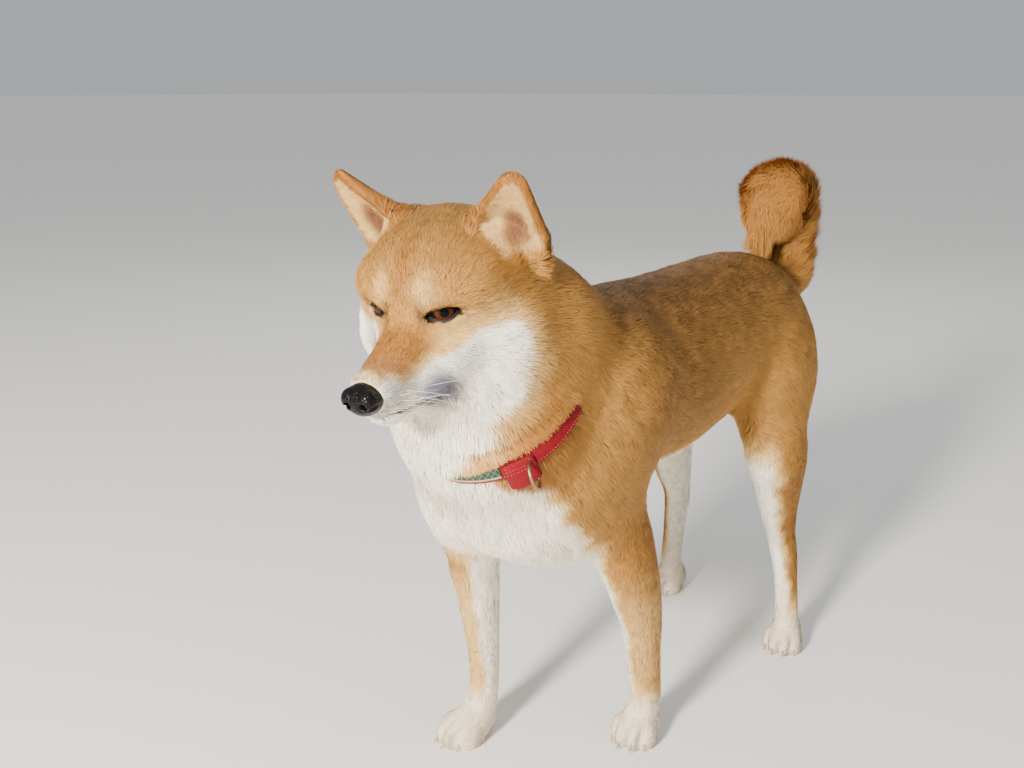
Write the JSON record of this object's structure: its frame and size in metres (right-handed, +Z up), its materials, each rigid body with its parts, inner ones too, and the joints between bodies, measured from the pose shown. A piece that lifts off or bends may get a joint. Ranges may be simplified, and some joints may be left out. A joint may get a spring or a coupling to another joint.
{
  "type": "shiba inu",
  "caption": "A life-size still model of a standing shiba inu with pricked ears, curled brush tail and a red collar",
  "frame": {"origin": "On the floor under the middle of the bounding box", "axes": "+Z up, the dog faces -Y, its left side is +X"},
  "size_m": [0.218, 0.6422, 0.5116],
  "materials": {
    "coat_red": "red sesame outer coat, rough",
    "coat_cream": "cream and white fur, rough",
    "nose_leather": "damp black nose leather",
    "eye": "dark brown iris under a clear wet surface",
    "webbing": "red woven webbing",
    "ribbon": "dark green check ribbon",
    "ring_metal": "tarnished bronze wire"
  },
  "bodies": {
    "root": {"torso": "coat_red", "neck": "coat_red", "head": "coat_red", "ear_left": "coat_red", "ear_right": "coat_red", "nose": "nose_leather", "eye_left": "eye", "eye_right": "eye", "collar_band": "webbing", "collar_keeper": "webbing", "collar_ribbon": "ribbon", "collar_ring": "ring_metal", "tail_base": "coat_red", "tail_curl": "coat_red", "fore_leg_right": "coat_cream", "fore_paw_right": "coat_cream", "fore_leg_left": "coat_cream", "fore_paw_left": "coat_cream", "hind_leg_left": "coat_red", "hind_paw_left": "coat_cream", "hind_leg_right": "coat_red", "hind_paw_right": "coat_cream"}
  },
  "joints": []
}
